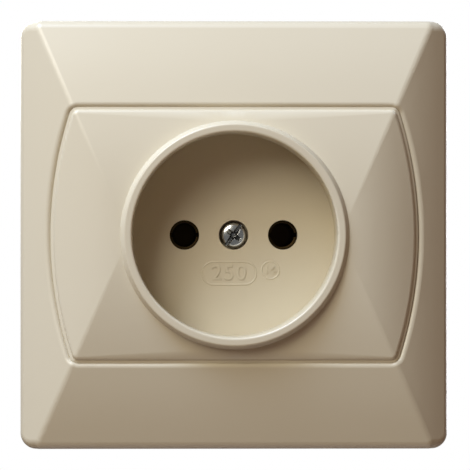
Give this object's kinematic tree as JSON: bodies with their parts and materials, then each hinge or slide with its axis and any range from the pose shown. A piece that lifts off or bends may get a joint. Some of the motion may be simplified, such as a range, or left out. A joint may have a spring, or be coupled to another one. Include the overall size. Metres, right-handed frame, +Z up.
{
  "type": "single wall socket",
  "caption": "Flush wall socket: square crowned frame, bowed cover panel with a round recess for a two-pin plug, and the insert with its claws behind.",
  "frame": {"origin": "centre of the outer frame's back, on the wall plane, where the axis of the plug recess meets it", "axes": "+X to the right, +Y into the wall along the recess axis, +Z up"},
  "size_m": [0.082, 0.0394, 0.082],
  "materials": {
    "cream_moulding": "injection moulded cream plastic, half gloss",
    "black_moulding": "compression moulded black thermoset",
    "bright_screw": "bright nickel-plated steel",
    "zinc_screws": "zinc-plated steel",
    "galvanised_sheet": "galvanised sheet steel",
    "spring_steel": "blank spring steel",
    "brass_parts": "turned and stamped brass"
  },
  "bodies": {
    "insert": {"outer_frame": "cream_moulding", "cover_plate": "cream_moulding", "cover_screw": "bright_screw", "threaded_bush": "brass_parts", "mounting_strap": "galvanised_sheet", "socket_base": "black_moulding", "back_cap": "black_moulding", "strap_screw_upper": "zinc_screws", "strap_screw_lower": "zinc_screws", "cap_screw_upper": "zinc_screws", "cap_screw_lower": "zinc_screws", "contact_left": "brass_parts", "contact_right": "brass_parts", "spring_ring_left": "spring_steel", "spring_ring_right": "spring_steel", "terminal_left": "brass_parts", "terminal_right": "brass_parts", "terminal_screw_left": "zinc_screws", "terminal_screw_right": "zinc_screws"},
    "left_screw": {"claw_screw_left": "zinc_screws"},
    "left_claw": {"claw_left": "galvanised_sheet"},
    "right_screw": {"claw_screw_right": "zinc_screws"},
    "right_claw": {"claw_right": "galvanised_sheet"}
  },
  "joints": [
    {"name": "left_screw_lean", "type": "hinge", "parent": "insert", "child": "left_screw", "pos_m": [-0.0265, -0.00316, 0], "axis": [0, 0, 1], "range_deg": [0, 12]},
    {"name": "left_claw_travel", "type": "slide", "parent": "left_screw", "child": "left_claw", "axis": [0, -1, 0], "range_m": [0, 0.008]},
    {"name": "right_screw_lean", "type": "hinge", "parent": "insert", "child": "right_screw", "pos_m": [0.0265, -0.00316, 0], "axis": [0, 0, -1], "range_deg": [0, 12]},
    {"name": "right_claw_travel", "type": "slide", "parent": "right_screw", "child": "right_claw", "axis": [0, -1, 0], "range_m": [0, 0.008]}
  ],
  "couplings": [
    {"joint": "left_claw_travel", "follows": "left_screw_lean", "m_per_rad": 0.03819},
    {"joint": "right_claw_travel", "follows": "right_screw_lean", "m_per_rad": 0.03819}
  ]
}
